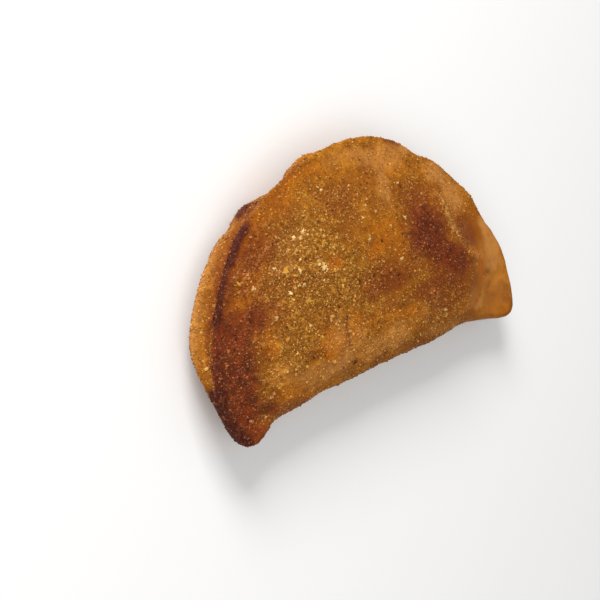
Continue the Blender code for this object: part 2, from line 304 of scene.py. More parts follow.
# %% Pale places
PALE = [
    # the near end
    (-38, -18.5, 5, 3.5, 0, 0.28), (-37.5, -28, 7, 2, 0, 0.45),
    # the swollen middle
    (-26, 13.5, 6, 3, 20, 0.15), (-31, 7, 4, 1.8, 0, 0.25), (-17, -17, 4, 8, 0, 0.3),
    (-21, -14.5, 5, 3, 0, 0.2), (-11, -16.5, 2, 3, 0, 0.35),
    # by the curved edge
    (13, 25.5, 9, 3.8, 172, 0.45), (10, 18, 2.4, 4.5, 0, 0.4), (23, 27, 4.5, 2.2, 145, 0.7),
    (33.5, 17, 4.6, 2.8, 140, 0.6), (0, 29, 8, 2, 0, 0.25),
    # along the fold
    (3, -22, 4.5, 3.4, 0, 0.5), (-26.5, -22, 9, 3, 0, 0.5), (17, -19.5, 6.5, 4, 0, 0.15),
    (-20, -23, 7, 2.6, 0, 0.15), (-13, -20.5, 6, 2.4, 0, 0.3), (-5, -22.5, 5, 3, 0, 0.45),
    (22, -25.5, 8, 2, 0, 0.35),
    # the bruise
    (31.6, 4.5, 0.9, 5, 0, 0.4),
    # past the ridge
    (38.5, 9, 6, 3.6, 130, 0.6), (54, -11, 3.6, 7, 10, 0.65), (52.5, -4, 3, 2.2, 130, 0.65),
    (51, -14.5, 2.8, 2.8, 0, 0.6), (48, -10.5, 2.8, 2, 0, 0.3), (37.5, -21.5, 3, 3, 0, 0.3),
    (50, -24, 8.5, 6.5, 0, 0.25), (41, -24.5, 3, 1.2, 10, 0.5), (42.5, -1.9, 3, 0.7, 172, 0.45),
]
print("pale places:", len(PALE))

# %% [markdown]
# How thick the crumb lies is told in the same way. The coat is thickest on the swollen middle.

# %% Where the crumb lies thick
DENSE = [
    (-26, 6, 15, 12, 20, 0.95), (-12, -2, 14, 9, 0, 0.7), (-34, -12, 9, 8, 0, 0.7), (-50, -16, 9, 13, 0, 0.4),
    (-12, 18, 13, 7, 0, 0.5), (-8, -14, 12, 6, 0, 0.45), (-42, 6, 6, 8, 0, 0.3), (4, -22, 22, 5, 15, 0.25),
    (22, 4, 10, 16, 0, 0.35), (22, -18, 11, 6, 0, 0.4),
]
print("thick places:", len(DENSE))

# %% [markdown]
# The underside was fried in the same oil, so it gets places of its own: a wide brown middle where
# it lay in the pan, and amber patches.

# %% Places on the underside
UNDER_BURNT = [(-48, -8, 7, 10, 0, 0.6), (18, -6, 9, 5, 30, 0.55), (-12, 12, 8, 4, 160, 0.4)]
UNDER_BROWN = [(0, -4, 24, 11, 10, 0.7), (32, -2, 10, 8, 0, 0.5), (-30, -14, 10, 6, 20, 0.5)]
UNDER_AMBER = [(-32, 4, 9, 6, 40, 0.7), (8, 16, 14, 5, 170, 0.6), (40, -16, 9, 5, 0, 0.7)]
print("places on the underside:", len(UNDER_BURNT) + len(UNDER_BROWN) + len(UNDER_AMBER))

# %% [markdown]
# No border on a fried crust looks drawn. Every step is therefore soft, and the ovals are bent by a
# wobble: crossed waves, themselves bent by waves, that come out the same each time.

# %% Soft steps, wobbles and ovals
OVAL_WOBBLE = 1.5
OVAL_SOFTNESS = 0.85
WAVES = ((6.5, 1.0), (2.9, 0.55))
BEND_ACROSS = 1.7
BEND_AWAY = 1.3


def smooth(value):
    """0 up to 0, 1 from 1, and soft between them."""
    value = np.clip(value, 0.0, 1.0)
    return value * value * (3 - 2 * value)


def rise(value, start, span):
    """0 up to the start and 1 from a span further on. A negative span runs the other way."""
    return smooth((value - start) / span)


def band(value, middle, half_width):
    """1 in the middle, fading to 0 at the half width to either side."""
    return smooth(1 - np.abs(value - middle) / half_width)


def wobble(points, shift):
    """An unevenness between -1 and 1. Each shift gives another one."""
    total = np.zeros(len(points))
    for length, weight in WAVES:
        x, y, z = (points / length).T
        bent_x = x + BEND_ACROSS * np.sin(0.9 * y + shift) + shift
        bent_y = y + BEND_AWAY * np.sin(1.1 * x - z)
        total += weight * np.sin(bent_x) * np.cos(bent_y)
    return total / sum(weight for _, weight in WAVES)


def cover(points, places):
    """How far the ovals in the list cover each point, from 0 to 1."""
    bare = np.ones(len(points))
    x = points[:, 0] + OVAL_WOBBLE * wobble(points, 0.0)
    y = points[:, 1] + OVAL_WOBBLE * wobble(points, 2.1)
    for middle_x, middle_y, half_length, half_width, turn, strength in places:
        ahead = (x - middle_x) * cos(radians(turn)) + (y - middle_y) * sin(radians(turn))
        aside = (y - middle_y) * cos(radians(turn)) - (x - middle_x) * sin(radians(turn))
        away = np.hypot(ahead / half_length, aside / half_width)
        bare *= 1 - strength * smooth((1 - away) / OVAL_SOFTNESS + 0.5)
    return 1 - bare


print("largest wobble:", np.abs(wobble(solid_points, 0.0)).max().round(2))

# %% [markdown]
# A low ridge of dough stands up beside the darkest patch, where the face dips to the far corner. It
# is drawn as a path on the face. Its crest stayed paler and holds more crumb than what is round it.

# %% The ridge
RIDGE = [(31, 10), (31.4, 6), (31.9, 2), (33.3, -1), (34.6, -4.5), (36.2, -7.6), (39.5, -9.8), (42.5, -10.8)]
RIDGE_CREST = 1.6


def along(points, path, width):
    """1 on a path drawn on the face, fading to 0 at the given distance to either side."""
    nearest = np.full(len(points), np.inf)
    for start, end in zip(path, path[1:]):
        start, span = np.array(start), np.subtract(end, start)
        from_start = points[:, :2] - start
        share = np.clip(from_start @ span / (span @ span), 0, 1)
        nearest = np.minimum(nearest, np.linalg.norm(from_start - share[:, None] * span, axis=1))
    return band(nearest, 0, width)


print("solid points on the ridge:", (along(solid_points, RIDGE, RIDGE_CREST) > 0).sum())

# %% [markdown]
# Other tones follow the form. For them each point is asked how it lies: on the upper face, the
# underside or the side between them, in which direction from the centre of the curved edge, and how
# far past the upper edge. A stretch of the curved edge is told by the directions where it starts
# and ends and by how softly it fades; a border by where it starts and how far on it is complete.

# %% How a point lies
WHOLE_ARC = (44, 172, 8)
UPPER_FACE = (-0.15, 0.5)
UNDERSIDE = (0.15, 0.5)
UPPER_FACE_END = (0.75, -1.5)
RAGGED_FINENESS = 2.4


def stretch(direction, start, end, fade):
    """1 between two directions, fading to 0 outside them."""
    return smooth((direction - start) / fade + 0.5) * smooth((end - direction) / fade + 0.5)


class Lie:
    """How points lie on the turnover, with two wobbles to make their borders uneven."""

    def __init__(self, points, normals):
        self.x, self.y, self.height = points.T
        self.direction, self.reach = turned(points)
        self.past_edge = self.reach - np.interp(self.direction, steps, edge_reach, period=360)
        self.on_arc = stretch(self.direction, *WHOLE_ARC)
        inside = np.maximum(rise(self.past_edge, *UPPER_FACE_END), 1 - self.on_arc)
        self.above = rise(normals[:, 2], *UPPER_FACE) * inside
        self.below = rise(-normals[:, 2], *UNDERSIDE)
        self.side = (1 - np.maximum(self.above, self.below)) * self.on_arc
        self.wavy = wobble(points, 0.7)
        self.ragged = wobble(points * RAGGED_FINENESS, 3.3)


solid_lie = Lie(solid_points, numbers_of(node, "normal"))
print("share of points on the side:", solid_lie.side.mean().round(2))

# %% [markdown]
# The crisp upper edge caught the oil. It is burnt all along the near side and round the near
# corner, and in two short stretches further on. The face inside it and the wall below it are
# browned with it on the near side.

# %% The upper edge
NEAR_SIDE = (126, 158, 7)
NEAR_SIDE_FROM = (120, 10)
NEAR_WALL = (120, 146, 10)
NEAR_NUB = (172, 190, 4)
OTHER_LINES = ((0.85, 156, 186, 6), (0.40, 101, 113, 5), (0.75, 64, 71, 4))
LINE_BORDER, BORDER_RAGGED, BORDER_WAVY = (-2.3, 1.8), 0.5, 0.3
LINE_FOOT, FOOT_RAGGED = (10.4, 1.4), 0.7
LINE_STRENGTH, LINE_UNEVENNESS = 0.96, 0.22
NUB_BORDER, NUB_FOOT = (-2.6, 2.2), (5.5, 3.0)
WALL_FOOT = (9.2, 2.6)
LOW_WALL_FOOT, LOW_WALL_WAVY, LOW_WALL_STRENGTH = (6.4, 3.0), 0.6, 1.1
INSIDE_BORDER, CLOSE_BORDER = (-9.0, 6.0), (-5.0, 3.4)


def edge_parts(lie):
    """The parts along the upper edge, each as a share from 0 to about 1."""
    near_side = stretch(lie.direction, *NEAR_SIDE)
    near_line = near_side * rise(lie.direction, *NEAR_SIDE_FROM)
    edge = rise(lie.past_edge + BORDER_RAGGED * lie.ragged + BORDER_WAVY * lie.wavy, *LINE_BORDER)
    edge *= rise(lie.height + FOOT_RAGGED * lie.ragged, *LINE_FOOT)
    nub = stretch(lie.direction, *NEAR_NUB) * rise(lie.past_edge + lie.ragged, *NUB_BORDER)
    nub *= rise(lie.height, *NUB_FOOT)
    line = (LINE_STRENGTH + LINE_UNEVENNESS * lie.ragged) * near_line
    for strength, start, end, fade in OTHER_LINES:
        line = np.maximum(line, strength * stretch(lie.direction, start, end, fade))
    wall = lie.side * near_side * rise(lie.height, *WALL_FOOT)
    low_wall = lie.side * stretch(lie.direction, *NEAR_WALL)
    low_wall *= rise(lie.height + LOW_WALL_WAVY * lie.wavy, *LOW_WALL_FOOT)
    return {
        "near line": edge * near_line,
        "nub": nub,
        "burnt edge": np.maximum(edge * line, nub),
        "browned wall": wall + LOW_WALL_STRENGTH * low_wall,
        "inside the edge": lie.above * near_side * rise(lie.past_edge + lie.wavy, *INSIDE_BORDER),
        "near the edge": lie.above * near_side * rise(lie.past_edge + lie.ragged, *CLOSE_BORDER),
    }


print("parts of the edge:", ", ".join(edge_parts(solid_lie)))

# %% [markdown]
# Below the upper edge runs a groove, darkened with painted shade, and below that a soft, pale roll of dough
# with one burnt lump on it. Both kept more crumb than the rest of the side. The fold is brown where it turns
# under, partly real browning and partly painted shade under the fold, and its crumb rubbed off at the near
# end. The smooth far corner carries hardly any crumb.

# %% The sealed side, the fold and the far corner
GROOVE = (10.6, 2.6)
ROLL_TOP, ROLL_FOOT = (9.0, -2.4), (3.2, 1.5)
BROWN_ROLL, PALE_ROLL = (112, 138, 10), (60, 176, 10)
LOW_EDGE, LOW_EDGE_FROM, LOW_EDGE_SHARE = (4.1, 1.6), 40, 0.12
LUMP_DIRECTION, LUMP_HALF_WIDTH = 122, 3.2
LUMP_HEIGHT, LUMP_HALF_HEIGHT, LUMP_WAVY = 6.8, 3.0, 0.5
LUMP_END, LUMP_SHARPNESS = 1.5, 1.2
FOLD_FRONT, FOLD_TOP, FOLD_END = (-26.0, -2.0), (11.5, -4.0), (46.0, -6.0)
RUBBED_FROM = (-24.0, -6.0)
CORNER_START, CORNER_TOP = (34.0, 9.0), (4.0, -7.0)
CORNER_LEAN, LEAN_MIDDLE = 0.30, -12


def side_parts(lie):
    """The parts of the side, the fold and the far corner, each as a share from 0 to 1."""
    roll = lie.side * rise(lie.height, *ROLL_TOP) * rise(lie.height, *ROLL_FOOT)
    low_edge = band(lie.height, *LOW_EDGE) * (lie.reach > LOW_EDGE_FROM) * lie.on_arc
    lump_aside = (lie.direction - LUMP_DIRECTION + lie.ragged) / LUMP_HALF_WIDTH
    lump_aloft = (lie.height - LUMP_HEIGHT + LUMP_WAVY * lie.wavy) / LUMP_HALF_HEIGHT
    lump = lie.side * smooth(LUMP_SHARPNESS * (LUMP_END - np.hypot(lump_aside, lump_aloft)))
    under_fold = rise(lie.y, *FOLD_FRONT) * rise(lie.height, *FOLD_TOP) * rise(lie.x, *FOLD_END)
    corner = rise(lie.x - CORNER_LEAN * (lie.y - LEAN_MIDDLE), *CORNER_START) * rise(lie.y, *CORNER_TOP)
    return {
        "groove": lie.side * band(lie.height, *GROOVE),
        "roll": roll,
        "brown roll": roll * stretch(lie.direction, *BROWN_ROLL),
        "pale roll": roll * stretch(lie.direction, *PALE_ROLL),
        "lump": lump,
        "burnt side": np.maximum(LOW_EDGE_SHARE * low_edge, lump),
        "under the fold": under_fold,
        "rubbed fold": under_fold * rise(lie.x, *RUBBED_FROM),
        "far corner": corner,
    }


print("parts of the side:", ", ".join(side_parts(solid_lie)))

# %% [markdown]
# Places and parts together give the share of every tone at a point. The same sum serves the crust
# and each crumb, so that a crumb on a burnt patch is burnt too. Each tone is a line in a table: its
# places on the upper face and on the underside, and how much each part of the form adds to it.

# %% From places and parts to tones
TONES = {
    "burnt": (BURNT, UNDER_BURNT, {"burnt edge": 1, "burnt side": 1}),
    "scorched": (SCORCHED, [], {"near line": 1, "nub": 1, "lump": 1}),
    # Brown in the groove is painted shade; under the fold it is partly browning and partly painted shade.
    "brown": (BROWN, UNDER_BROWN, {
        "groove": 0.22, "under the fold": 0.75, "browned wall": 0.50, "inside the edge": 0.32,
        "near the edge": 0.42, "brown roll": 0.40}),
    "amber": (AMBER, UNDER_AMBER, {"groove": 0.12, "inside the edge": 0.45}),
    "pale": (PALE, [], {"pale roll": 0.95, "ridge": 0.35}),
}
THIN_CRUMB = 0.46
SIDE_CRUMB = 0.34
RIDGE_CRUMB = 0.5
CORNER_BARENESS = 0.97
FOLD_BARENESS = 0.85


def tones_of(points, normals):
    """The share of each tone at each point, and how thick the crumb lies there."""
    lie = Lie(points, normals)
    parts = {**edge_parts(lie), **side_parts(lie), "ridge": along(points, RIDGE, RIDGE_CREST)}
    shares = {}
    for tone, (places, under_places, adds) in TONES.items():
        shares[tone] = cover(points, places) * lie.above + cover(points, under_places) * lie.below
        for part, amount in adds.items():
            shares[tone] += amount * parts[part]
    crumbed = THIN_CRUMB + (1 - THIN_CRUMB) * cover(points, DENSE) * lie.above
    crumbed += SIDE_CRUMB * (parts["groove"] + parts["roll"])
    crumbed *= (1 - CORNER_BARENESS * parts["far corner"]) * (1 - FOLD_BARENESS * parts["rubbed fold"])
    shares["crumbed"] = crumbed + RIDGE_CRUMB * parts["ridge"]
    return {name: np.clip(share, 0, 1) for name, share in shares.items()}


print("tones of the crust:", ", ".join(TONES))

# %% [markdown]
# Relief in three sizes, all true geometry. Fried dough bubbles softly over centimetres; the crumb
# coat clumps over a few millimetres; and the coat itself is gritty below that. Each is one Displace
# modifier with a cloud pattern, applied, and steered by a vertex group: the flat that lies on the
# table is left out, and the smooth far corner gets hardly more than the soft swell. The ridge comes
# first and is just pushed out.

# %% Relief of the crust
LEVELS = 20
FREE_OF_TABLE = (0.35, 0.8)
BARE_RELIEF = 0.15
RIDGE_FOOT = 2.56
RIDGE_FACES = (0.0, 0.3)
RIDGE_HEIGHT = 0.35 * MM


def steer(piece, name, weights):
    """A vertex group in even steps of weight."""
    group = piece.vertex_groups.new(name=name)
    levels = np.round(weights * LEVELS).astype(int)
    for level in range(1, LEVELS + 1):
        group.add(np.nonzero(levels == level)[0].tolist(), level / LEVELS, "REPLACE")


def displace(title, group, grain, depth, detail):
    """Moves the crust's points in and out by a cloud pattern. Grain and depth are in millimetres."""
    pattern = bpy.data.textures.new(title, "CLOUDS")
    pattern.noise_scale = grain * MM
    pattern.noise_depth = detail
    use_modifier(crust, title, "DISPLACE", texture=pattern, texture_coords="LOCAL", strength=depth * MM,
                 mid_level=0.5, vertex_group=group)


smooth_points = points_of(crust)
smooth_normals = numbers_of(crust, "normal")
tones = tones_of(smooth_points, smooth_normals)
free = rise(smooth_points[:, 2], *FREE_OF_TABLE)
ridge = along(smooth_points, RIDGE, RIDGE_FOOT) * rise(smooth_normals[:, 2], *RIDGE_FACES)
steer(crust, "free", free)
steer(crust, "coat", free * (BARE_RELIEF + (1 - BARE_RELIEF) * tones["crumbed"]))
steer(crust, "ridge", ridge)
use_modifier(crust, "ridge", "DISPLACE", strength=RIDGE_HEIGHT, mid_level=0.0, vertex_group="ridge")
displace("soft_swell", "free", grain=7.0, depth=0.40, detail=1)
swollen_points = points_of(crust)
displace("crumb_clumps", "coat", grain=2.0, depth=0.55, detail=2)
displace("grit", "coat", grain=0.80, depth=0.42, detail=1)
crust.data.shade_smooth()
raised = ((points_of(crust) - swollen_points) * smooth_normals).sum(axis=1)
print("crumb relief from", raised.min().round(2), "to", raised.max().round(2), "mm")

# %% [markdown]
# The tones are stored on the crust as attributes, one number for each point, so that the finish can read them
# and they lie on the surface from every side. So is how far each point was raised by the crumb relief: with
# it the finish paints shade into the low points and paints a highlight onto the raised tips.

# %% The tones on the crust
RAISED_SPAN = 0.22


def store(piece, name, values):
    """One number for each point, under a name that the finish can ask for."""
    attribute = piece.data.attributes.new(name, "FLOAT", "POINT")
    attribute.data.foreach_set("value", values.astype(np.float32))


for name, values in tones.items():
    store(crust, name, values)
store(crust, "raised", np.clip(0.5 + raised / RAISED_SPAN, 0, 1))
print({name: round(float(values.mean()), 2) for name, values in tones.items()})

# %% [markdown]
# The finishes are built from nodes. Crust and crumbs share their colours, so the recipe is a class
# with a method for each kind of step, and a finish reads as a list of steps. A noise is told by its
# grain in millimetres, its detail and its roughness.

# %% A recipe for a finish
def colour(red, green, blue):
    """A colour as seen on a screen, from 0 to 255, as the linear numbers a shader takes."""
    shares = np.array((red, green, blue)) / 255
    linear = np.where(shares <= 0.04045, shares / 12.92, ((shares + 0.055) / 1.055) ** 2.4)
    return (*linear.tolist(), 1.0)


class Recipe:
    """Adds and links nodes in one material."""

    COLOUR_MIX_SOCKETS = (0, 6, 7)

    def __init__(self, name):
        self.material = bpy.data.materials.new(name)
        self.material.use_nodes = True
        self.nodes = self.material.node_tree.nodes
        self.links = self.material.node_tree.links
        self.shader = self.nodes["Principled BSDF"]
        self.place = self.nodes.new("ShaderNodeTexCoord").outputs["Object"]

    def plug(self, socket, value):
        """Links another node's output to the socket, or sets the number or colour on it."""
        if isinstance(value, bpy.types.NodeSocket):
            self.links.new(value, socket)
        else:
            socket.default_value = value

    def give(self, name, value):
        """Plugs a value into the shader itself."""
        self.plug(self.shader.inputs[name], value)

    def noise(self, grain, detail, roughness):
        """A cloud pattern whose blobs are about as wide as the grain."""
        node = self.nodes.new("ShaderNodeTexNoise")
        self.plug(node.inputs["Vector"], self.place)
        self.plug(node.inputs["Scale"], 1 / (grain * MM))
        self.plug(node.inputs["Detail"], detail)
        self.plug(node.inputs["Roughness"], roughness)
        return node.outputs["Fac"]

    def stored(self, name):
        """A number that is stored on the points."""
        node = self.nodes.new("ShaderNodeAttribute")
        node.attribute_name = name
        return node.outputs["Fac"]

    def sum(self, operation, first, second, clamp=False):
        """One step of arithmetic. Clamped, it stays between 0 and 1."""
        node = self.nodes.new("ShaderNodeMath")
        node.operation = operation
        node.use_clamp = clamp
        self.plug(node.inputs[0], first)
        self.plug(node.inputs[1], second)
        return node.outputs[0]

    def plus(self, first, second):
        return self.sum("ADD", first, second)

    def times(self, first, second):
        return self.sum("MULTIPLY", first, second)

    def less(self, whole, part):
        return self.sum("SUBTRACT", whole, part)

    def step(self, value, low, high):
        """0 at low, 1 at high, soft between. High may be the smaller one."""
        node = self.nodes.new("ShaderNodeMapRange")
        node.interpolation_type = "SMOOTHSTEP"
        self.plug(node.inputs["Value"], value)
        self.plug(node.inputs["From Min"], min(low, high))
        self.plug(node.inputs["From Max"], max(low, high))
        self.plug(node.inputs["To Min"], float(low > high))
        self.plug(node.inputs["To Max"], float(low < high))
        return node.outputs["Result"]

    def mix(self, share, first, second):
        """The first colour at a share of 0, the second at 1."""
        node = self.nodes.new("ShaderNodeMix")
        node.data_type = "RGBA"
        for number, value in zip(self.COLOUR_MIX_SOCKETS, (share, first, second)):
            self.plug(node.inputs[number], value)
        return node.outputs[2]

    def uneven(self, name, pattern, amount):
        """A stored tone, broken up by a pattern where it is neither 0 nor 1."""
        tone = self.stored(name)
        shifted = self.times(self.less(pattern, 0.5), 4 * amount)
        room = self.times(tone, self.less(1.0, tone))
        return self.sum("ADD", tone, self.times(shifted, room), clamp=True)


print("white for a shader:", colour(255, 255, 255))

# %% [markdown]
# The colours. Gold is a little olive where the coat is thick; the blue is kept very low, as oil
# soaks it. Brown and burnt lean to red, but less than they seem to, because the eye compares them
# with the gold around them. Two noises mottle the gold, and the stored tones pull it towards amber,
# pale gold, brown and at last burnt red-brown, which is deepest where the crust is scorched.

# %% The crust's colours
GOLD_DARK = colour(130, 73, 12)
GOLD = colour(150, 88, 15)
GOLD_LIGHT = colour(168, 103, 22)
OLIVE = colour(136, 85, 18)
BROWN_TONE = colour(116, 55, 13)
AMBER_TONE = colour(172, 94, 6)
PALE_TONE = colour(190, 128, 64)
BURNT_TONE = colour(114, 45, 15)
BURNT_DEEP = colour(66, 24, 14)
LAYERS = (("amber", AMBER_TONE, 0.6), ("pale", PALE_TONE, 0.6), ("brown", BROWN_TONE, 1.2))
BURNT_UNEVENNESS = 0.7
BROAD_NOISE, CLOSE_NOISE = (9.0, 3.0, 0.55), (2.2, 4.0, 0.60)
GOLD_STEP, LIGHT_STEP = (0.40, 0.52), (0.50, 0.63)
OLIVE_STEP, MOST_OLIVE = (0.62, 0.95), 0.60
DEEP_STEP = (0.64, 0.30)


def crust_colours(recipe):
    """Gold with its tones, before any tips and hollows."""
    broad = recipe.noise(*BROAD_NOISE)
    close = recipe.noise(*CLOSE_NOISE)
    both = recipe.plus(recipe.times(broad, 0.5), recipe.times(close, 0.5))
    gold = recipe.mix(recipe.step(both, *GOLD_STEP), GOLD_DARK, GOLD)
    gold = recipe.mix(recipe.step(both, *LIGHT_STEP), gold, GOLD_LIGHT)
    olive = recipe.times(recipe.step(recipe.stored("crumbed"), *OLIVE_STEP), MOST_OLIVE)
    toned = recipe.mix(olive, gold, OLIVE)
    for tone, its_colour, unevenness in LAYERS:
        toned = recipe.mix(recipe.uneven(tone, close, unevenness), toned, its_colour)
    deep = recipe.sum("MAXIMUM", recipe.step(close, *DEEP_STEP), recipe.stored("scorched"))
    burnt = recipe.mix(deep, BURNT_TONE, BURNT_DEEP)
    return recipe.mix(recipe.uneven("burnt", close, BURNT_UNEVENNESS), toned, burnt)


print("gold for a shader:", [round(value, 3) for value in GOLD])

# %% [markdown]
# The crust's finish adds what is finer than its tones. It paints shade into the low points of the crumb
# relief and paints a highlight onto its raised tips, both mixed with a fine noise. Flecks of crumb too small
# to model are light; highlights and flecks are toasted where the crust is browned. The gloss varies a little,
# and a shallow bump carries the relief on below the size of the mesh.

# %% The crust's finish
# Painted shade for the low points of the relief, and one light colour for both the painted highlights on the
# raised tips and the flecks.
PAINTED_SHADE_TONE = colour(108, 58, 10)
FLECK_AND_HIGHLIGHT_TONE = colour(204, 146, 50)
TOASTED = colour(184, 107, 58)
FINE_NOISE, FLECK_NOISE, GLOSS_NOISE = (0.55, 3.0, 0.65), (0.42, 3.0, 0.70), (1.4, 2.0, 0.50)
PAINTED_SHADE_STEP, MOST_PAINTED_SHADE = (0.50, 0.34), 0.30
HIGHLIGHT_STEP, MOST_HIGHLIGHT = (0.56, 0.72), 0.5
FLECK_STEP, LEAST_FLECKS, MORE_FLECKS = (0.56, 0.68), 0.04, 0.55
LEAST_ROUGH, MORE_ROUGH = 0.42, 0.36
CRUST_SHINE = 0.08
BUMP_DEPTH, BUMP_STRENGTH, LEAST_BUMP = 0.20 * MM, 0.6, 0.1
TOASTED_BY_BROWN, MOST_SPARED = 0.7, 0.6


def spared(recipe, tone):
    """1, and less where the tone is strong: burnt crust shows few painted highlights and flecks."""
    return recipe.less(1.0, recipe.times(recipe.stored(tone), MOST_SPARED))


def crust_finish():
    recipe = Recipe("fried_crust")
    toned = crust_colours(recipe)
    crumbed = recipe.stored("crumbed")
    fine = recipe.noise(*FINE_NOISE)
    grit = recipe.plus(recipe.times(recipe.stored("raised"), 0.5), recipe.times(fine, 0.5))
    # Painted shade: the low points of the relief, mixed with a fine noise, are darkened where the crumb lies
    # thick.
    painted_shade = recipe.times(recipe.step(grit, *PAINTED_SHADE_STEP), recipe.times(crumbed, MOST_PAINTED_SHADE))
    toned = recipe.mix(painted_shade, toned, PAINTED_SHADE_TONE)
    brown = recipe.times(recipe.stored("brown"), TOASTED_BY_BROWN)
    toasting = recipe.sum("ADD", recipe.stored("burnt"), brown, clamp=True)
    light = recipe.mix(toasting, FLECK_AND_HIGHLIGHT_TONE, TOASTED)
    # Painted highlight: the raised tips of the relief are lightened, less on burnt crust.
    painted_highlight = recipe.times(recipe.step(grit, *HIGHLIGHT_STEP), recipe.times(crumbed, spared(recipe, "burnt")))
    toned = recipe.mix(recipe.times(painted_highlight, MOST_HIGHLIGHT), toned, light)
    flecks = recipe.step(recipe.noise(*FLECK_NOISE), *FLECK_STEP)
    flecks = recipe.times(flecks, recipe.plus(recipe.times(crumbed, MORE_FLECKS), LEAST_FLECKS))
    toned = recipe.mix(recipe.times(flecks, spared(recipe, "scorched")), toned, light)
    recipe.give("Base Color", toned)
    gloss = recipe.plus(LEAST_ROUGH, recipe.times(recipe.noise(*GLOSS_NOISE), MORE_ROUGH))
    recipe.give("Roughness", gloss)
    recipe.give("Specular IOR Level", CRUST_SHINE)
    bump = recipe.nodes.new("ShaderNodeBump")
    recipe.plug(bump.inputs["Distance"], BUMP_DEPTH)
    recipe.plug(bump.inputs["Strength"], BUMP_STRENGTH)
    recipe.plug(bump.inputs["Height"], recipe.times(fine, recipe.plus(crumbed, LEAST_BUMP)))
    recipe.give("Normal", bump.outputs["Normal"])
    return recipe.material


crust.data.materials.clear()
crust.data.materials.append(crust_finish())
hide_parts("rissole")
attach(crust, "root")
print("nodes in the crust's finish:", len(crust.data.materials[0].node_tree.nodes))

# %% [markdown]
# Crumbs are real little solids, because bread crumbs are broken bits with corners that catch the
# light. A few angular grains are modelled from a block, a ball and a splinter whose corners are
# pushed about. Each is set down many times at random, from a fixed seed, sunk by about a third, and
# joined into one piece for each kind. A crumb takes the tones of the crust below it, and a number
# of its own that makes it lighter or darker.

# %% A few grains
SHAPES = 6


def grains(start_primitive, roughness, seed):
    """Angular grains about one unit in radius, as arrays of points and triangles."""
    shapes = []
    for number in range(SHAPES):
        bpy.ops.object.select_all(action="DESELECT")
        start_primitive()
        grain = bpy.context.object
        bpy.ops.object.mode_set(mode="EDIT")
        bpy.ops.mesh.select_all(action="SELECT")
        bpy.ops.transform.vertex_random(offset=roughness, uniform=1.0, normal=0.0, seed=seed + number)
        bpy.ops.mesh.quads_convert_to_tris()
        bpy.ops.mesh.normals_make_consistent(inside=False)
        bpy.ops.object.mode_set(mode="OBJECT")
        triangles = np.array([face.vertices[:] for face in grain.data.polygons])
        shapes.append((numbers_of(grain, "co"), triangles))
        bpy.data.objects.remove(grain, do_unlink=True)
    return shapes


def block():
    bpy.ops.mesh.primitive_cube_add(size=1.5, location=(0, 0, 0))


def ball():
    bpy.ops.mesh.primitive_ico_sphere_add(subdivisions=1, radius=1.0, location=(0, 0, 0))


def splinter():
    bpy.ops.mesh.primitive_cone_add(vertices=4, radius1=1.0, radius2=0.0, depth=1.9, location=(0, 0, 0))


BLOCKS = grains(block, roughness=0.38, seed=10)
BALLS = grains(ball, roughness=0.30, seed=40)
SPLINTERS = grains(splinter, roughness=0.35, seed=70)
for title, shapes in (("block", BLOCKS), ("ball", BALLS), ("splinter", SPLINTERS)):
    print("triangles of a", title + ":", len(shapes[0][1]))

# %% [markdown]
# To set crumbs down evenly, a face of the crust is picked with a chance that grows with its area
# and with how thick the crumb lies there, and the crumb goes to a random spot on that face.

# %% Random spots on the crust
crust.data.calc_loop_triangles()
corner_flat = np.empty(len(crust.data.loop_triangles) * 3, np.int32)
crust.data.loop_triangles.foreach_get("vertices", corner_flat)
corners = corner_flat.reshape(-1, 3)
first, second, third = (points_of(crust)[corners[:, corner]] for corner in range(3))
face_areas = np.linalg.norm(np.cross(second - first, third - first), axis=1) / 2
face_outward = smooth_normals[corners].mean(axis=1)
face_outward /= np.linalg.norm(face_outward, axis=1)[:, None]
face_crumbed = tones["crumbed"][corners].mean(axis=1) * free[corners].mean(axis=1)


def set_down(count, weights, seed):
    """Random spots on the crust, and which way is outwards there."""
    random = np.random.default_rng(seed)
    chances = face_areas * weights
    faces = random.choice(len(corners), size=count, p=chances / chances.sum())
    a, b = random.random((2, count))
    over = a + b > 1
    a[over], b[over] = 1 - a[over], 1 - b[over]
    places = first[faces] + a[:, None] * (second - first)[faces] + b[:, None] * (third - first)[faces]
    return random, places, face_outward[faces]


print("surface to crumb:", round(face_areas.sum() / 100, 1), "square centimetres")

# %% [markdown]
# Every grain is turned its own way, stretched, flattened towards the crust and lifted, all the
# grains of one shape at once.

# %% Placing the grains of one shape
def random_turns(random, count):
    """Rotation matrices, spread evenly over all directions."""
    w, x, y, z = random.normal(size=(4, count))
    length = np.sqrt(w * w + x * x + y * y + z * z)
    w, x, y, z = w / length, x / length, y / length, z / length
    return np.stack([
        1 - 2 * (y * y + z * z), 2 * (x * y - z * w), 2 * (x * z + y * w),
        2 * (x * y + z * w), 1 - 2 * (x * x + z * z), 2 * (y * z - x * w),
        2 * (x * z - y * w), 2 * (y * z + x * w), 1 - 2 * (x * x + y * y),
    ], axis=1).reshape(count, 3, 3)


def placed(points, turns, scales, places, outward, flatness, lifts):
    """The points of one shape at every place, as one array for each grain."""
    local = np.einsum("nij,npj->npi", turns, points[None] * scales[:, None])
    height = np.einsum("npi,ni->np", local, outward)
    local -= (1 - flatness) * height[..., None] * outward[:, None]
    return places[:, None] + local + (outward * lifts[:, None])[:, None]


print("a turn keeps volumes:", np.linalg.det(random_turns(np.random.default_rng(0), 3)).round(3))

# %% [markdown]
# Joining is the same for every kind: all its grains go into one mesh, and each grain's tones and
# lightness are stored on its points. No grain reaches below the table.

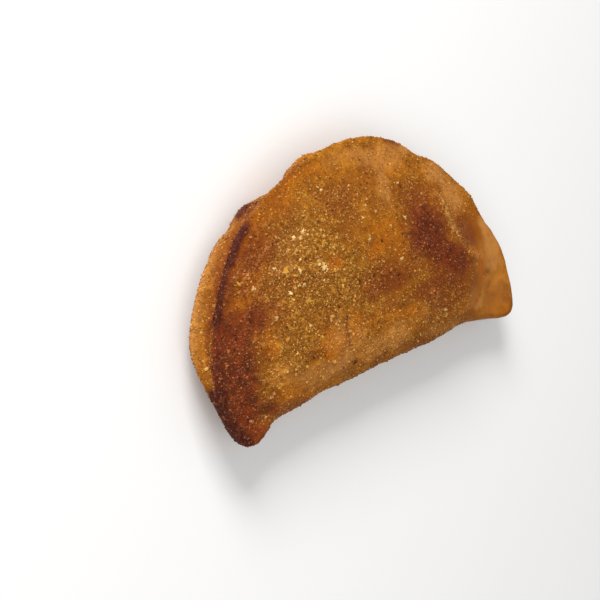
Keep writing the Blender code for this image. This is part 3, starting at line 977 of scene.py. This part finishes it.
# %% Joining grains into one piece
def join_grains(name, shapes, random, places, outward, sizes, lightness, finish, flatness=0.7, sunk=0.35,
                uneven=(0.4, 1.7)):
    turns = random_turns(random, len(places))
    kinds = random.integers(0, len(shapes), len(places))
    scales = random.uniform(*uneven, (len(places), 3)) * sizes[:, None]
    lifts = sizes * flatness * (1 - 2 * sunk)
    all_points, all_triangles, owners = [], [], []
    start = 0
    for kind, (points, triangles) in enumerate(shapes):
        chosen = np.nonzero(kinds == kind)[0]
        spread = placed(points, turns[chosen], scales[chosen], places[chosen], outward[chosen],
                        flatness, lifts[chosen])
        offsets = start + np.arange(len(chosen)) * len(points)
        all_points.append(spread.reshape(-1, 3))
        all_triangles.append((triangles[None] + offsets[:, None, None]).reshape(-1, 3))
        owners.append(np.repeat(chosen, len(points)))
        start += len(chosen) * len(points)
    points, triangles, owner = (np.concatenate(parts) for parts in (all_points, all_triangles, owners))
    points[:, 2] = np.maximum(points[:, 2], 0.0)
    mesh = bpy.data.meshes.new(name)
    mesh.from_pydata((points * MM).tolist(), [], triangles.tolist())
    mesh.materials.append(finish)
    piece = put(name, mesh)
    for tone, values in tones_of(places, outward).items():
        store(piece, tone, values[owner])
    store(piece, "lightness", lightness[owner])
    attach(piece, "root")
    print(name, "has", len(places), "grains and", len(triangles), "triangles")


# %% [markdown]
# The crumbs' finish is the crust's own colours. A crumb's lightness lifts them towards the crumb's
# own light colour, most where the coat is thick, and the very darkest crumbs are charred. On
# browned or burnt crust the light colour is toasted too. A little gloss gives an oily sparkle.

# %% The crumbs' finish
STRAW = colour(222, 172, 86)
CREAM = colour(226, 190, 124)
YOLK = colour(206, 150, 50)
CHARRED = colour(84, 36, 4)
TOASTING_STEP = (0.30, 0.85)
LEAST_LIFT, MORE_LIFT = 0.38, 0.56
CHARRED_STEP = (0.10, 0.0)
CRUMB_SHINE = 0.20


def crumb_finish(name, light_tone, light_from, gloss, toasting=0.8):
    recipe = Recipe(name)
    toned = crust_colours(recipe)
    lightness = recipe.stored("lightness")
    browned = recipe.step(recipe.stored("brown"), *TOASTING_STEP)
    light = recipe.mix(recipe.times(browned, toasting), light_tone, TOASTED)
    light = recipe.mix(recipe.stored("burnt"), light, TOASTED)
    most = recipe.plus(LEAST_LIFT, recipe.times(recipe.stored("crumbed"), MORE_LIFT))
    toned = recipe.mix(recipe.times(recipe.step(lightness, light_from, 1.0), most), toned, light)
    toned = recipe.mix(recipe.step(lightness, *CHARRED_STEP), toned, CHARRED)
    recipe.give("Base Color", toned)
    recipe.give("Roughness", gloss)
    recipe.give("Specular IOR Level", CRUMB_SHINE)
    return recipe.material


print("straw for a shader:", [round(value, 3) for value in STRAW])

# %% [markdown]
# Fine crumbs and grit cover nearly everything, thickest on the face, with hardly any on the smooth
# far corner. Coarser crumbs are scarcer and gather in clumps. The sizes are radii in millimetres:
# the middle one, how much they differ, and the least and the most. The lightness has two numbers:
# the first pulls towards light, the second towards dark.

# %% Fine and coarse crumbs
CLUMP_FINENESS, CLUMP_SHARPNESS = 2.2, 1.5
CLUMPS_FROM, FACE_CROWDING = 0.40, 1.2
clumping = 0.5 + 0.5 * wobble((first + second + third) / 3 * CLUMP_FINENESS, 4.0)
clumped = np.maximum(0, face_crumbed - CLUMPS_FROM) * clumping ** CLUMP_SHARPNESS


def scatter(name, shapes, seed, count, weights, radii, lightness, finish, **set_in):
    """Crumbs set down at random all over the crust."""
    random, places, outward = set_down(count, weights, seed)
    middle, difference, least, most = radii
    sizes = np.clip(random.lognormal(np.log(middle), difference, count), least, most)
    light = random.beta(*lightness, count)
    join_grains(name, shapes, random, places, outward, sizes, light, finish, **set_in)


scatter("fine_crumbs", BLOCKS, seed=11, count=16000, weights=face_crumbed ** FACE_CROWDING,
        radii=(0.160, 0.30, 0.09, 0.34), lightness=(1.9, 1.9),
        finish=crumb_finish("fine_crumb", STRAW, light_from=0.45, gloss=0.5))
scatter("grit_crumbs", SPLINTERS, seed=13, count=24000, weights=face_crumbed,
        radii=(0.125, 0.25, 0.08, 0.25), lightness=(1.9, 1.5), flatness=0.9,
        finish=crumb_finish("grit_crumb", STRAW, light_from=0.45, gloss=0.5))
scatter("coarse_crumbs", BLOCKS, seed=12, count=2400, weights=clumped,
        radii=(0.26, 0.26, 0.17, 0.46), lightness=(1.7, 2.0), flatness=0.6, uneven=(0.5, 1.4),
        finish=crumb_finish("coarse_crumb", STRAW, light_from=0.48, gloss=0.46))

# %% [markdown]
# A few flakes did not brown at all, some bits are yellow as egg, and a few specks burnt black. All
# are few enough to be put where the real ones are: X, Y and a radius for each.

# %% Where the flakes and specks are
CREAM_FLAKES = [
    (-19.3, 4.3, 1.4), (-41.2, 5.6, 0.7), (-37.7, -3.5, 0.75), (-26.8, 5.7, 0.8), (-25.3, 14, 0.8),
    (-23.5, 13.4, 0.75), (-22, 14.9, 0.75), (-21, 13.6, 0.6), (-28.4, 2.4, 0.55), (-26.6, 2, 0.6),
    (-31.5, 1.2, 0.75), (-28.3, -8.6, 0.55), (-25.6, 8.3, 0.65), (-1.3, 12.6, 0.5), (1.3, 15.4, 0.5),
    (-0.8, 6.6, 0.5), (8, 7.8, 0.5), (8.6, -1.7, 0.55), (16, 17.8, 0.5), (14, 8.5, 0.6),
    (23, -20.8, 0.75), (-33.8, 8.3, 0.6), (-11.5, 23.1, 0.55), (-46, -27, 0.5), (-44.4, -22.5, 0.7),
]
YOLK_FLAKES = [
    (-31, 6.9, 1.15), (-26.6, -2.2, 0.95), (-44.8, 7.8, 0.85), (-41.1, -19.9, 0.9), (-25.4, -12.6, 0.7),
    (-39.1, -24.4, 0.6), (-30, -6.2, 0.5), (-36, -9.5, 0.55), (-13.5, -1, 0.5), (-17, 10.5, 0.55),
]
BURNT_SPECKS = [
    (-7.7, -2.7, 0.8), (-2.5, -3.3, 0.75), (6.8, -5.6, 0.6), (-16.3, -4.2, 0.55), (-14, -23.5, 0.8),
    (-11.3, 19.3, 0.55), (-8.4, 5.4, 0.5), (-29.2, -16.8, 0.6), (-24.3, 7.9, 0.5), (4.8, 20.7, 0.5),
    (-15, -10.4, 0.5), (-37, -7.4, 0.6), (-35.6, -6.6, 0.45), (3.4, 4.9, 0.45), (-31.8, 14.3, 0.45),
]
print("flakes and specks:", len(CREAM_FLAKES) + len(YOLK_FLAKES) + len(BURNT_SPECKS))

# %% [markdown]
# Each one is a small cluster: a middle grain with smaller bits round it. A ray that is cast
# straight down finds where each bit meets the crust.

# %% Cream flakes, egg-yellow flakes and burnt specks
CAST_FROM = 0.1
MIDDLE_SHARE = 0.60


def clusters(name, shapes, spots, seed, bits, spread, shares, lightness, finish, **set_in):
    """A cluster at each spot; the bits' shares are of the spot's own radius."""
    random = np.random.default_rng(seed)
    places, outward, sizes = [], [], []
    for x, y, size in spots:
        for bit in range(bits):
            aside = random.normal(0, spread * size, 2) * (bit > 0)
            above = Vector(((x + aside[0]) * MM, (y + aside[1]) * MM, CAST_FROM))
            place, normal = crust.ray_cast(above, Vector((0, 0, -1)))[1:3]
            places.append(place / MM)
            outward.append(normal)
            sizes.append(size * (MIDDLE_SHARE if bit == 0 else random.uniform(*shares)))
    join_grains(name, shapes, random, np.array(places), np.array(outward), np.array(sizes),
                random.uniform(*lightness, len(places)), finish, **set_in)


clusters("cream_flakes", BLOCKS, CREAM_FLAKES, seed=21, bits=10, spread=0.48, shares=(0.16, 0.40),
         lightness=(0.80, 1.0), flatness=0.5, uneven=(0.7, 1.3),
         finish=crumb_finish("cream_flake", CREAM, light_from=0.20, gloss=0.5, toasting=0.2))
clusters("yolk_flakes", BLOCKS, YOLK_FLAKES, seed=23, bits=10, spread=0.60, shares=(0.20, 0.45),
         lightness=(0.55, 1.0), flatness=0.5, uneven=(0.7, 1.3),
         finish=crumb_finish("yolk_flake", YOLK, light_from=0.10, gloss=0.45, toasting=0.0))
clusters("burnt_specks", BALLS, BURNT_SPECKS, seed=22, bits=3, spread=0.50, shares=(0.3, 0.5),
         lightness=(0.0, 0.04), flatness=0.6, sunk=0.25,
         finish=crumb_finish("burnt_speck", STRAW, light_from=0.90, gloss=0.7))

# %% [markdown]
# Last, the scene is brought up to date.

# %% The end
bpy.context.view_layer.update()
